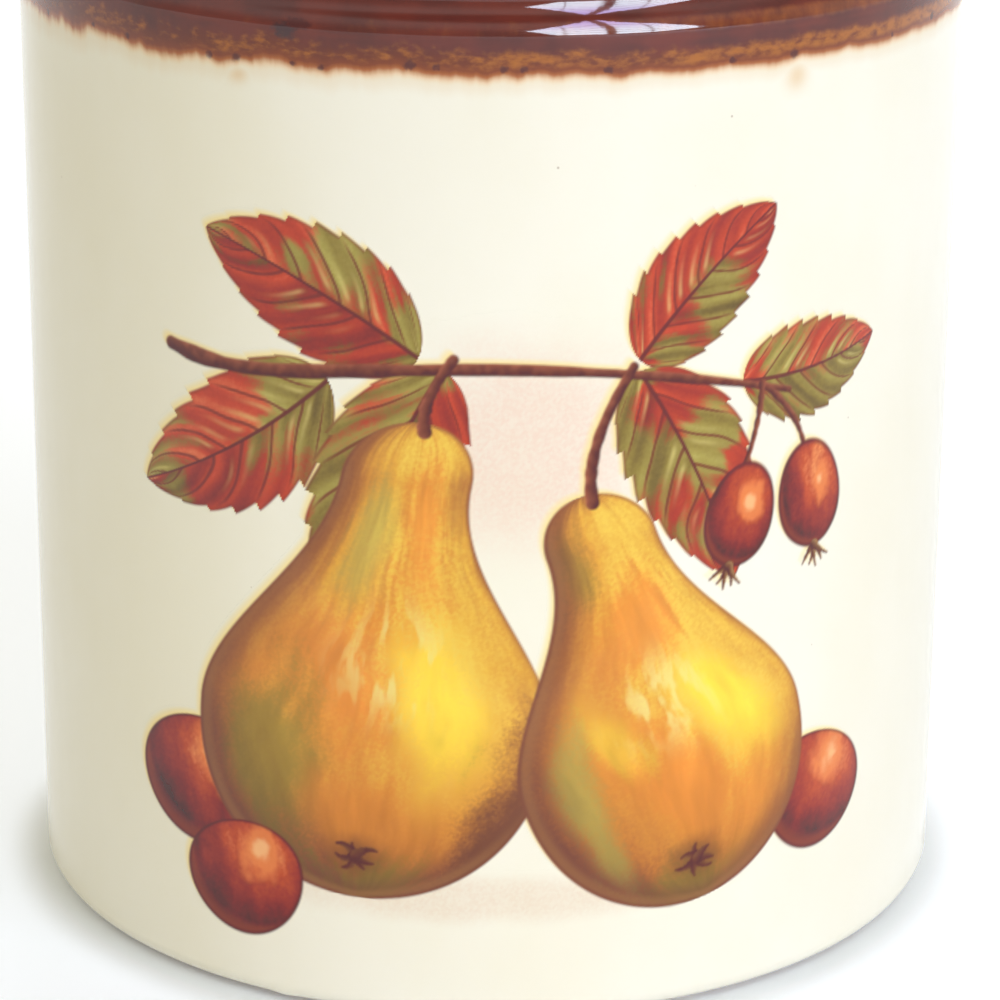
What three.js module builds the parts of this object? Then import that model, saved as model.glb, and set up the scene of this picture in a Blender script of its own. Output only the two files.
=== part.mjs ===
// Ceramic canister: a glazed stoneware jar, its lift-off lid with a cast knob, and the lip seal that
// the lid carries round its locating skirt.
// Millimetres, +Z up. The origin lies on the table, in the middle of the foot ring.

import * as THREE from "three";

// Jar, outside
const BODY_DIAMETER = 165;
const WALL_HEIGHT = 169; // table to the start of the shoulder
const SHOULDER_RISE = 6; // height of the S curve
const SHOULDER_STEP = 1.8; // how far the S curve draws the radius in
const COLLAR_RISE = 9; // top of the shoulder to top of the rim
const HEEL_RADIUS = 3.6;
const FOOT_BEVEL = 0.8; // bare clay edge between heel and table
const FOOT_WIDTH = 7;
const FOOT_RECESS = 2; // underside, above the table

// Jar, inside
const WALL_THICKNESS = 6;
const FLOOR_THICKNESS = 7;
const FLOOR_FILLET = 10;
const RIM_ROUNDING = 2;

// Clearance between pieces that seat on each other
const SEAT_GAP = 0.3;

// Lid plate
const FLANGE_OVERHANG = 1; // flange past the collar
const FLANGE_THICKNESS = 6.5;
const BEAD_WRAP = 140; // degrees of the rolled edge, from its underside
const DOME_RISE = 10; // top of the rolled edge to top of the dome
const DOME_SHOULDER = 34; // radius where the dome levels out
const LID_THICKNESS = 6.5;
const UNDERSIDE_RISE = 2; // seat to the edge of the hollow underside
const UNDERSIDE_FILLET = 4;

// Lid skirt and the groove for the seal
const SKIRT_CLEARANCE = 2.5; // to the mouth
const SKIRT_DEPTH = 17;
const SKIRT_THICKNESS = 6;
const SKIRT_ROUNDING = 2;
const GROOVE_DROP = 4; // seat to top of groove
const GROOVE_HEIGHT = 7;
const GROOVE_DEPTH = 2.2;

// Knob
const KNOB_DIAMETER = 46;
const KNOB_HEIGHT = 26; // above the dome
const KNOB_EDGE_RADIUS = 4.5;
const KNOB_CROWN = 3;
const NECK_DIAMETER = 26;
const NECK_FILLET = 5;
const CORE_DIAMETER = 14; // hollow that casting leaves in the knob
const CORE_ROUNDING = 3;

// Seal
const LIP_COUNT = 2;
const LIP_ROOT = 1.6;
const LIP_TIP = 0.7;
const LIP_LIFT = 1.1; // tip above root

// Facets round the axis, along a long curve and along a small rounding
const SEGMENTS = 64;
const CURVE_STEPS = 6;
const ROUND_STEPS = 3;

// Values that follow from the driving sizes
const bodyRadius = BODY_DIAMETER / 2;
const collarRadius = bodyRadius - SHOULDER_STEP;
const mouthRadius = collarRadius - WALL_THICKNESS;
const insideRadius = bodyRadius - WALL_THICKNESS;
const shoulderTop = WALL_HEIGHT + SHOULDER_RISE;
const rimTop = shoulderTop + COLLAR_RISE;
const floorTop = FOOT_RECESS + FLOOR_THICKNESS;
const seat = rimTop + SEAT_GAP;
const skirtRadius = mouthRadius - SKIRT_CLEARANCE;
const grooveTop = seat - GROOVE_DROP;
const grooveBottom = grooveTop - GROOVE_HEIGHT;
const grooveRadius = skirtRadius - GROOVE_DEPTH;
const domeTop = seat + FLANGE_THICKNESS + DOME_RISE;

const glazedBody = new THREE.MeshStandardMaterial({ color: "#efe8d0", roughness: 0.18, metalness: 0 });
const glazedLid = new THREE.MeshStandardMaterial({ color: "#5c3022", roughness: 0.15, metalness: 0 });
const softSeal = new THREE.MeshStandardMaterial({ color: "#e4ded0", roughness: 0.55, metalness: 0 });

// Part of a circle in the profile plane, X outward and Y up
function arc(x, y, radius, fromDegrees, toDegrees, steps) {
  const from = THREE.MathUtils.degToRad(fromDegrees);
  const to = THREE.MathUtils.degToRad(toDegrees);
  return new THREE.EllipseCurve(x, y, radius, radius, from, to, to < from).getPoints(steps);
}

function point(x, y) {
  return new THREE.Vector2(x, y);
}

function bezier(points, steps) {
  const Curve = points.length === 4 ? THREE.CubicBezierCurve : THREE.QuadraticBezierCurve;
  return new Curve(...points).getPoints(steps);
}

// S curve between two radii, upright at both ends
function sCurve(startRadius, startHeight, endRadius, endHeight) {
  const middle = (startHeight + endHeight) / 2;
  const handles = [point(startRadius, middle), point(endRadius, middle)];
  const ends = [point(startRadius, startHeight), point(endRadius, endHeight)];
  return bezier([ends[0], ...handles, ends[1]], CURVE_STEPS);
}

// Solid of revolution about +Z from a profile that runs round its section anticlockwise
function turned(name, profile, material) {
  const geometry = new THREE.LatheGeometry(profile, SEGMENTS);
  geometry.rotateX(Math.PI / 2);
  const mesh = new THREE.Mesh(geometry, material);
  mesh.name = name;
  return mesh;
}

function canisterBody() {
  const footOuter = bodyRadius - HEEL_RADIUS - FOOT_BEVEL;
  const footInner = footOuter - FOOT_WIDTH;
  const underside = [
    point(0, FOOT_RECESS),
    point(footInner - FOOT_RECESS, FOOT_RECESS),
    point(footInner, 0),
    point(footOuter, 0),
  ];
  const heel = arc(bodyRadius - HEEL_RADIUS, FOOT_BEVEL + HEEL_RADIUS, HEEL_RADIUS, -90, 0, CURVE_STEPS);
  const shoulder = sCurve(bodyRadius, WALL_HEIGHT, collarRadius, shoulderTop);
  const rim = [
    ...arc(collarRadius - RIM_ROUNDING, rimTop - RIM_ROUNDING, RIM_ROUNDING, 0, 90, ROUND_STEPS),
    ...arc(mouthRadius + RIM_ROUNDING, rimTop - RIM_ROUNDING, RIM_ROUNDING, 90, 180, ROUND_STEPS),
  ];
  const neckInside = sCurve(mouthRadius, shoulderTop, insideRadius, WALL_HEIGHT);
  const floor = [
    ...arc(insideRadius - FLOOR_FILLET, floorTop + FLOOR_FILLET, FLOOR_FILLET, 0, -90, CURVE_STEPS),
    point(0, floorTop),
  ];
  return turned(
    "canister_body",
    [...underside, ...heel, ...shoulder, ...rim, ...neckInside, ...floor],
    glazedBody,
  );
}

// Hollow underside of the lid, from the cast hollow of the knob out to the foot of the skirt
function lidUnderside() {
  const coreRadius = CORE_DIAMETER / 2;
  const coreTop = domeTop + KNOB_HEIGHT - KNOB_CROWN - LID_THICKNESS;
  const hollowTop = domeTop - LID_THICKNESS;
  const skirtInner = skirtRadius - SKIRT_THICKNESS;
  const hollowEdge = point(skirtInner - UNDERSIDE_FILLET, seat + UNDERSIDE_RISE);
  const coreMouth = point(coreRadius + CORE_ROUNDING, hollowTop);
  const foot = seat - SKIRT_DEPTH + SKIRT_ROUNDING;
  return [
    point(0, coreTop),
    ...arc(coreRadius - CORE_ROUNDING, coreTop - CORE_ROUNDING, CORE_ROUNDING, 90, 0, ROUND_STEPS),
    ...arc(coreMouth.x, hollowTop + CORE_ROUNDING, CORE_ROUNDING, 180, 270, ROUND_STEPS),
    ...bezier([coreMouth, point(DOME_SHOULDER, hollowTop), hollowEdge], CURVE_STEPS),
    ...arc(hollowEdge.x, hollowEdge.y - UNDERSIDE_FILLET, UNDERSIDE_FILLET, 90, 0, ROUND_STEPS),
    ...arc(skirtInner + SKIRT_ROUNDING, foot, SKIRT_ROUNDING, 180, 270, ROUND_STEPS),
    ...arc(skirtRadius - SKIRT_ROUNDING, foot, SKIRT_ROUNDING, -90, 0, ROUND_STEPS),
  ];
}

// Outside of the lid, from the seal groove over the rolled edge and the dome to the top of the knob
function lidOutside() {
  const beadRadius = FLANGE_THICKNESS / 2;
  const beadCentre = collarRadius + FLANGE_OVERHANG - beadRadius;
  const bead = arc(beadCentre, seat + beadRadius, beadRadius, -90, BEAD_WRAP, CURVE_STEPS);
  const neckRadius = NECK_DIAMETER / 2;
  const neckFoot = point(neckRadius + NECK_FILLET, domeTop);
  const neckStart = point(neckRadius, domeTop + NECK_FILLET);
  const knobRadius = KNOB_DIAMETER / 2;
  const knobTop = domeTop + KNOB_HEIGHT;
  const edgeCentre = point(knobRadius - KNOB_EDGE_RADIUS, knobTop - KNOB_CROWN - KNOB_EDGE_RADIUS);
  const knobUnder = point(edgeCentre.x, edgeCentre.y - KNOB_EDGE_RADIUS);
  const crownEdge = point(edgeCentre.x, edgeCentre.y + KNOB_EDGE_RADIUS);
  return [
    point(skirtRadius, grooveBottom),
    point(grooveRadius, grooveBottom),
    point(grooveRadius, grooveTop),
    point(skirtRadius, grooveTop),
    point(skirtRadius, seat),
    ...bead,
    ...bezier([bead.at(-1), point(DOME_SHOULDER, domeTop), neckFoot], CURVE_STEPS),
    ...arc(neckFoot.x, neckStart.y, NECK_FILLET, 270, 180, ROUND_STEPS),
    ...bezier([neckStart, point(neckRadius, knobUnder.y), knobUnder], ROUND_STEPS),
    ...arc(edgeCentre.x, edgeCentre.y, KNOB_EDGE_RADIUS, -90, 90, CURVE_STEPS),
    ...bezier([crownEdge, point(crownEdge.x / 2, knobTop), point(0, knobTop)], ROUND_STEPS),
  ];
}

function lid() {
  return turned("lid", [...lidUnderside(), ...lidOutside()], glazedLid);
}

// Band in the groove with lips that reach up and out to the mouth
function lidSeal() {
  const bandInner = grooveRadius + SEAT_GAP;
  const bandBottom = grooveBottom + SEAT_GAP;
  const bandTop = grooveTop - SEAT_GAP;
  const lipRadius = mouthRadius - SEAT_GAP;
  const lipPitch = (bandTop - bandBottom) / LIP_COUNT;
  const profile = [point(bandInner, bandBottom), point(skirtRadius, bandBottom)];
  for (let index = 0; index < LIP_COUNT; index += 1) {
    const root = bandBottom + lipPitch * (index + 0.5) - LIP_LIFT / 2;
    const tip = root + LIP_LIFT;
    profile.push(point(skirtRadius, root - LIP_ROOT / 2), point(lipRadius, tip - LIP_TIP / 2));
    profile.push(point(lipRadius, tip + LIP_TIP / 2), point(skirtRadius, root + LIP_ROOT / 2));
  }
  profile.push(point(skirtRadius, bandTop), point(bandInner, bandTop), profile[0].clone());
  return turned("lid_seal", profile, softSeal);
}

const canister = new THREE.Group();
canister.add(canisterBody(), lid(), lidSeal());

export default canister;
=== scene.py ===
"""Looks of the ceramic canister: glazes, dip line, fired print, lid and seal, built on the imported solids.

Lengths are millimetres in this script and metres in Blender. +Z is up and the decorated front faces -Y.
Places on the wall are (u, z): u is the arc round the jar from the middle of the front, positive to the right.
"""

import math

import bpy
import numpy as np
from mathutils import Matrix, Vector


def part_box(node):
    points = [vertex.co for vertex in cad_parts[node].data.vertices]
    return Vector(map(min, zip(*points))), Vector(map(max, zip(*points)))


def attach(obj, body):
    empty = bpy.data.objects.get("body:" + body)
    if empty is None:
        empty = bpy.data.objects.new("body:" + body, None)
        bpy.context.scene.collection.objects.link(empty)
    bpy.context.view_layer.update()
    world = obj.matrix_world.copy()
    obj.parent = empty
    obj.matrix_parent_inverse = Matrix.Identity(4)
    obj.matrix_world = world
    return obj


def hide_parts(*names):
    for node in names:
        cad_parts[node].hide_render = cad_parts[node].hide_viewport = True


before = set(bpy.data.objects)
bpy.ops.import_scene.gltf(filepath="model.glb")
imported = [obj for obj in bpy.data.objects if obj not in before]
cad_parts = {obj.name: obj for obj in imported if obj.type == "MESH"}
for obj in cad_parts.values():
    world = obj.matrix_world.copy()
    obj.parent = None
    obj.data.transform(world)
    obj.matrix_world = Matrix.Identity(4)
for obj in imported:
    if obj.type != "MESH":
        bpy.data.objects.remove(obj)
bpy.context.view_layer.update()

MM = 0.001


def frame_box(node):
    low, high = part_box(node)
    return np.array(low) / MM, np.array(high) / MM


_, JAR_HIGH = frame_box("canister_body")
LID_LOW, LID_HIGH = frame_box("lid")
SEAL_LOW, SEAL_HIGH = frame_box("lid_seal")

# Jar
BODY_R = JAR_HIGH[0]
RIM_TOP = JAR_HIGH[2]
WALL_HEIGHT = 169.0
SHOULDER_RISE = 6.0
SHOULDER_STEP = 1.8
WALL = 6.0
HEEL_R = 3.6
FOOT_BEVEL = 0.8
FOOT_WIDTH = 7.0
FOOT_RECESS = 2.0
FOOT_EASE = 0.6
BASE = 7.0
BASE_FILLET = 10.0
RIM_ROUNDING = 2.0
COLLAR_R = BODY_R - SHOULDER_STEP
MOUTH_R = COLLAR_R - WALL
INSIDE_R = BODY_R - WALL
SHOULDER_TOP = WALL_HEIGHT + SHOULDER_RISE
BASE_TOP = FOOT_RECESS + BASE
FOOT_OUTER = BODY_R - HEEL_R - FOOT_BEVEL
FOOT_INNER = FOOT_OUTER - FOOT_WIDTH
GIRTH = 2 * np.pi * BODY_R

# Lid
FIT_GAP = 0.3
SEAT = RIM_TOP + FIT_GAP
SEAT_EASE = 0.6
BEAD_R = 3.25
BEAD_CENTRE = LID_HIGH[0] - BEAD_R
BEAD_WRAP = 140.0
DOME_RISE = 10.0
DOME_SHOULDER = 34.0
DOME_TOP = SEAT + 2 * BEAD_R + DOME_RISE
LID_THICKNESS = 6.5
UNDERSIDE_RISE = 2.0
UNDERSIDE_FILLET = 4.0
SKIRT_CLEARANCE = 2.5
SKIRT_THICKNESS = 6.0
SKIRT_R = MOUTH_R - SKIRT_CLEARANCE
SKIRT_INNER = SKIRT_R - SKIRT_THICKNESS
SKIRT_FOOT = LID_LOW[2]
SKIRT_ROUNDING = 2.0
GROOVE_DEPTH = 2.2
GROOVE_DROP = 4.0
GROOVE_HEIGHT = 7.0
GROOVE_EASE = 0.3
GROOVE_R = SKIRT_R - GROOVE_DEPTH
GROOVE_TOP = SEAT - GROOVE_DROP
GROOVE_BOTTOM = GROOVE_TOP - GROOVE_HEIGHT
KNOB_R = 23.0
KNOB_TOP = LID_HIGH[2]
KNOB_EDGE_R = 4.5
KNOB_CROWN = 3.0
NECK_R = 13.0
NECK_FILLET = 5.0
CORE_R = 7.0
CORE_ROUNDING = 3.0

# Seal
LIP_COUNT = 2
LIP_ROOT = 1.6
LIP_TIP = 0.7
LIP_LIFT = 1.1
SEAL_ROUNDING = 0.4

# Unevenness of the cast wall: height, waves round the jar, phase, and rise over which a wave turns one radian
WALL_WAVES = [(0.05, 3, 0.7, math.inf), (0.03, 5, -1.1, 40.0), (0.03, 2, 0.0, 55.0)]
# Run of glaze at the heel: u, height, half width, half height, how proud it stands
HEEL_RUN = (-35.7, 1.2, 2.4, 1.6, 0.45)

# Columns round the axis
JAR_COLUMNS = 448
DIP_COLUMNS = 720
LID_COLUMNS = 256
SEAL_COLUMNS = 256

CREASE = math.radians(35)
MAP_MARGIN = 0.02


# Profiles: points (radius, height) that run anticlockwise round the section

def arc(r, z, radius, start, end, steps=10):
    turn = np.radians(np.linspace(start, end, steps + 1))
    return np.stack([r + radius * np.cos(turn), z + radius * np.sin(turn)], -1)


def line(start, end, step):
    steps = max(1, round(math.dist(start, end) / step))
    return np.linspace(start, end, steps + 1)


def bezier(points, steps=20):
    points = np.array(points, float)
    degree = len(points) - 1
    t = np.linspace(0, 1, steps + 1)[:, None]
    return sum(math.comb(degree, k) * t ** k * (1 - t) ** (degree - k) * points[k] for k in range(degree + 1))


def s_curve(start, end, steps=28):
    middle = (start[1] + end[1]) / 2
    return bezier([start, (start[0], middle), (end[0], middle), end], steps)


def ease(r, z, before, after, steps=4):
    """Small curve round a corner, from one offset (radius, height) to another."""
    return bezier([(r + before[0], z + before[1]), (r, z), (r + after[0], z + after[1])], steps)


def chain(*parts):
    points = np.vstack([np.atleast_2d(part) for part in parts])
    moved = np.linalg.norm(np.diff(points, axis=0), axis=1) > 1e-6
    return points[np.concatenate([[True], moved])]


def rounded(corners, radius, steps=4):
    """Closed outline with every corner cut by a small curve."""
    corners = np.array(corners, float)
    parts = []
    for before, corner, after in zip(np.roll(corners, 1, 0), corners, np.roll(corners, -1, 0)):
        ends = []
        for other in (before, after):
            away = other - corner
            length = np.linalg.norm(away)
            ends.append(corner + away / length * min(radius, 0.45 * length))
        parts.append(bezier([ends[0], corner, ends[1]], steps))
    return chain(*parts)


def travelled(points):
    return np.concatenate([[0.0], np.cumsum(np.linalg.norm(np.diff(points, axis=0), axis=1))])


def outward(points):
    ahead = np.gradient(points, axis=0)
    ahead /= np.linalg.norm(ahead, axis=1)[:, None]
    return np.stack([ahead[:, 1], -ahead[:, 0]], -1)


def bend_along(points):
    """How fast a profile turns, in radians a millimetre. Crests are positive."""
    normal = outward(points)
    return np.gradient(np.unwrap(np.arctan2(normal[:, 1], normal[:, 0])), travelled(points))


# Meshes

def wrapped(angle):
    """Angle from the front, between minus and plus half a turn."""
    return (angle + np.pi) % (2 * np.pi) - np.pi


def smooth(low, high, value):
    t = np.clip((value - low) / (high - low), 0, 1)
    return t * t * (3 - 2 * t)


def swell(angle, z):
    """Slight unevenness of the cast and fired wall, and a run of glaze at the heel, in millimetres."""
    wave = sum(tall * np.sin(count * angle + phase + z / rise) for tall, count, phase, rise in WALL_WAVES)
    u, height, wide, tall, proud = HEEL_RUN
    run = proud * np.exp(-((wrapped(angle) * BODY_R - u) / wide) ** 2 - ((z - height) / tall) ** 2)
    return wave * smooth(2, 30, z) * smooth(RIM_TOP - 2, RIM_TOP - 30, z) + run


def add_object(name, data):
    made = bpy.data.objects.new(name, data)
    bpy.context.scene.collection.objects.link(made)
    return made


def make_mesh(name, points, faces, uv):
    """Object from points in millimetres and quads (or triangles that repeat their last corner)."""
    mesh = bpy.data.meshes.new(name)
    corners = [face[:3] if face[3] == face[2] else face for face in faces.tolist()]
    mesh.from_pydata(points * MM, [], corners)
    layer = mesh.uv_layers.new(name="OFBake")
    kept = np.array([True, True, True, False]) | (faces[:, 3] != faces[:, 2])[:, None]
    layer.data.foreach_set("uv", uv[kept].astype(np.float32).ravel())
    mesh.polygons.foreach_set("use_smooth", np.ones(len(mesh.polygons), bool))
    mesh.set_sharp_from_angle(angle=CREASE)
    return add_object(name, mesh)


def attribute(piece, name, kind, values):
    key = {"FLOAT": "value", "FLOAT_VECTOR": "vector", "FLOAT_COLOR": "color"}[kind]
    layer = piece.data.attributes.new(name, kind, "POINT")
    layer.data.foreach_set(key, np.asarray(values, np.float32).ravel())


def points_of(piece):
    places = np.zeros(len(piece.data.vertices) * 3, np.float32)
    piece.data.vertices.foreach_get("co", places)
    return places.reshape(-1, 3) / MM


def only_used(points, faces):
    """Points that some face uses, the faces with their new numbers, and which points those were."""
    used = np.zeros(len(points), bool)
    used[faces] = True
    return points[used], (np.cumsum(used) - 1)[faces], used


def turned(name, profile, columns, strips=1, closed=False, bulge=None):
    """Solid of revolution. Columns run round from the front, and the map is cut into strips."""
    rings = len(profile)
    angle = 2 * np.pi * np.arange(columns) / columns
    r, z = profile[:, :1], profile[:, 1:]
    grown = r + (bulge(angle, z) if bulge else 0 * angle)
    points = np.stack([grown * np.sin(angle), -grown * np.cos(angle), z + 0 * angle], -1).reshape(-1, 3)
    count = rings if closed else rings - 1
    i, j = (index.ravel() for index in np.indices((count, columns)))
    below, above, next_j = i * columns, (i + 1) % rings * columns, (j + 1) % columns
    faces = np.stack([below + j, below + next_j, above + next_j, above + j], -1)
    along = travelled(chain(profile, profile[:1]) if closed else profile)
    along = along / along[-1]
    strip = j * strips // columns
    left = j * strips / columns - strip
    right = left + strips / columns
    low, high = along[i], along[np.minimum(i + 1, len(along) - 1)]
    corners = ((left, low), (right, low), (right, high), (left, high))
    uv = np.stack([np.stack(corner, -1) for corner in corners], 1) * (1 - 2 * MAP_MARGIN) + MAP_MARGIN
    uv[..., 1] = (uv[..., 1] + strip[:, None]) / strips
    if not closed:
        first, last = i == 0, i == count - 1
        points[:columns] = points[:columns].mean(0)
        points[-columns:] = points[-columns:].mean(0)
        faces[last, 2:] = (rings - 1) * columns
        fan = [0, 2, 3, 3]
        faces[first], uv[first] = faces[first][:, fan], uv[first][:, fan]
        faces[first, 0] = 0
        points, faces, _ = only_used(points, faces)
    return make_mesh(name, points, faces, uv)


# Print: a painter that works on a grid in millimetres

def srgb(*channels):
    return np.array(channels, float) / 255


def linear(colour):
    colour = np.asarray(colour, float)
    return np.where(colour <= 0.04045, colour / 12.92, ((colour + 0.055) / 1.055) ** 2.4)


def direction(degrees):
    return np.array([math.cos(math.radians(degrees)), math.sin(math.radians(degrees))])


def lattice(ix, iy, seed):
    n = (ix.astype(np.int64) * 374761393 + iy.astype(np.int64) * 668265263 + seed * 362437) & 0xFFFFFFFF
    n = ((n ^ (n >> 13)) * 1274126177) & 0xFFFFFFFF
    return ((n ^ (n >> 16)) & 0xFFFF) / 65535.0


def noise(x, y, seed):
    x, y = 0.8 * x - 0.6 * y, 0.6 * x + 0.8 * y
    ix, iy = np.floor(x), np.floor(y)
    sx, sy = (f ** 3 * (f * (f * 6 - 15) + 10) for f in (x - ix, y - iy))
    low = lattice(ix, iy, seed) * (1 - sx) + lattice(ix + 1, iy, seed) * sx
    high = lattice(ix, iy + 1, seed) * (1 - sx) + lattice(ix + 1, iy + 1, seed) * sx
    return low * (1 - sy) + high * sy


def cloud(x, y, seed, octaves=4):
    """Noise of several sizes, about zero."""
    total = 0
    for k in range(octaves):
        total = total + 0.5 ** k * noise(x, y, seed + k)
        x, y = 1.75 * x - 1.05 * y + 5.2, 1.05 * x + 1.75 * y + 1.3
    return total / (2 - 0.5 ** (octaves - 1)) - 0.5


def shades(value, stops, colours):
    colours = np.array(colours)
    return np.stack([np.interp(value, stops, colours[:, c]) for c in range(3)], -1)


def blend(under, over, share):
    return under + (over - under) * np.clip(share, 0, 1)[..., None]


INK_EDGE = 0.30
PAINTED_LIGHT = (0.36, 0.50, 0.79)
BARK_DARK, BARK_PALE = srgb(88, 38, 32), srgb(164, 92, 66)
SEPAL, SEPAL_DARK = srgb(176, 140, 84), srgb(124, 76, 48)
HAZE_ROSE, HAZE_TAN = srgb(238, 202, 184), srgb(222, 186, 158)
YELLOW_PLATE, YELLOW_STEPS, YELLOW_COVER = srgb(248, 222, 128), 4, 0.75

PEAR_STOPS = [0.0, 0.2, 0.42, 0.62, 0.82, 1.0]
PEAR_SHADES = [srgb(118, 68, 54), srgb(152, 90, 52), srgb(192, 120, 52),
               srgb(214, 144, 56), srgb(228, 170, 64), srgb(240, 200, 80)]
PEAR_GLEAM, PEAR_BOUNCE, PEAR_LINE = srgb(240, 228, 146), srgb(184, 136, 76), srgb(136, 78, 54)
PEAR_SLOPE_STEP = 0.01
EYE_HOLLOW = srgb(112, 66, 40)
EYE_RISE = 8.0
EYE_SEPALS, SEPAL_TURN = 7, 51.4
# Washes of colour on a pear: colour, strength, place across and along, half width and height, tilt in degrees
ORANGE, YELLOW, OLIVE = srgb(224, 138, 54), srgb(248, 212, 66), srgb(158, 138, 56)
PALE_OLIVE, UMBER = srgb(192, 174, 84), srgb(122, 72, 54)
LEFT_WASHES = [
    (ORANGE, 0.95, -0.30, 0.48, 0.58, 0.28, 24), (YELLOW, 0.85, 0.40, 0.40, 0.34, 0.22, 16),
    (OLIVE, 0.75, -0.62, 0.24, 0.34, 0.24, -14), (ORANGE, 0.85, 0.10, 0.16, 0.60, 0.11, -8),
    (OLIVE, 0.75, 0.20, 0.03, 0.80, 0.08, 0), (PALE_OLIVE, 0.70, -0.30, 0.74, 0.34, 0.16, 10),
    (ORANGE, 0.80, 0.36, 0.78, 0.44, 0.18, 0), (UMBER, 0.90, 0.98, 0.20, 0.34, 0.26, 10)]
RIGHT_WASHES = [
    (ORANGE, 0.95, -0.05, 0.30, 0.42, 0.32, 38), (YELLOW, 0.90, 0.46, 0.44, 0.32, 0.22, 20),
    (PALE_OLIVE, 0.80, -0.66, 0.30, 0.20, 0.26, -8), (OLIVE, 0.75, -0.10, 0.05, 0.90, 0.09, 6),
    (YELLOW, 0.60, -0.34, 0.46, 0.18, 0.16, 30), (ORANGE, 0.85, 0.10, 0.70, 0.70, 0.13, 20),
    (OLIVE, 0.60, -0.60, 0.84, 0.40, 0.12, 0), (ORANGE, 0.75, 0.60, 0.18, 0.34, 0.12, 30)]

LEAF_STOPS = [0.0, 0.35, 0.7, 1.0]
LEAF_RED = [srgb(116, 42, 34), srgb(162, 54, 38), srgb(200, 72, 46), srgb(228, 120, 76)]
LEAF_GREEN = [srgb(96, 76, 40), srgb(138, 118, 54), srgb(168, 154, 76), srgb(206, 196, 118)]
LEAF_DASH, LEAF_VEIN = srgb(222, 206, 128), srgb(112, 46, 34)
LEAF_RIB, LEAF_LINE = srgb(104, 42, 34), srgb(118, 50, 38)
LEAF_VEINS = 6

BERRY_STOPS = [0.0, 0.25, 0.55, 0.8, 1.0]
BERRY_SHADES = [srgb(76, 28, 26), srgb(116, 38, 28), srgb(158, 54, 34), srgb(194, 80, 44), srgb(234, 142, 82)]
BERRY_SPOT, BERRY_GLEAM = srgb(242, 142, 76), srgb(254, 206, 150)
BERRY_GLOW, BERRY_LINE = srgb(180, 80, 56), srgb(72, 22, 18)
HIP_STRETCH = 1.34


class Canvas:
    """Colour and cover on a grid. around() gives a window that paints into the same grid."""

    def __init__(self, u, v, rgb=None, cover=None):
        self.u, self.v = u, v
        self.rgb = np.zeros(u.shape + (3,)) if rgb is None else rgb
        self.cover = np.zeros(u.shape) if cover is None else cover

    def around(self, centre, reach):
        columns = np.flatnonzero(np.abs(self.u[0] - centre[0]) < reach)
        rows = np.flatnonzero(np.abs(self.v[:, 0] - centre[1]) < reach)
        window = (slice(rows[0], rows[-1] + 1), slice(columns[0], columns[-1] + 1))
        return Canvas(self.u[window], self.v[window], self.rgb[window], self.cover[window])

    def lay(self, rgb, cover):
        kept = self.cover * (1 - cover)
        total = cover + kept
        mixed = rgb * cover[..., None] + self.rgb * kept[..., None]
        self.rgb[...] = mixed / np.maximum(total, 1e-6)[..., None]
        self.cover[...] = total

    def local(self, base, degrees):
        ahead, left = direction(degrees), direction(degrees + 90)
        du, dv = self.u - base[0], self.v - base[1]
        return du * ahead[0] + dv * ahead[1], du * left[0] + dv * left[1]

    def facing(self, height):
        """How far a painted relief faces the painted light."""
        dv, du = np.gradient(height, self.v[1, 0] - self.v[0, 0], self.u[0, 1] - self.u[0, 0])
        right, up, out = PAINTED_LIGHT
        return (out - right * du - up * dv) / np.sqrt(1 + du * du + dv * dv)

    def cloud(self, size, seed, octaves=4, shift=0):
        return cloud(self.u / size + shift, self.v / size, seed, octaves)

    def grain(self, seed, fine=2.3):
        return noise(self.u * fine, self.v * fine, seed) - 0.5


def pear_width(a, belly, neck, belly_at=0.36, neck_at=0.88):
    low = belly * np.sqrt(np.clip(1 - (np.abs(a - belly_at) / belly_at) ** 2.2, 0, 1))
    turn = np.clip((a - belly_at) / (neck_at - belly_at), 0, 1) ** 0.94
    middle = neck + (belly - neck) * (np.cos(np.pi * turn) + 1) / 2
    cap = neck * np.sqrt(np.clip(1 - ((a - neck_at) / (1 - neck_at)) ** 2, 0, 1))
    return np.where(a < belly_at, low, np.where(a < neck_at, middle, cap))


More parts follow.
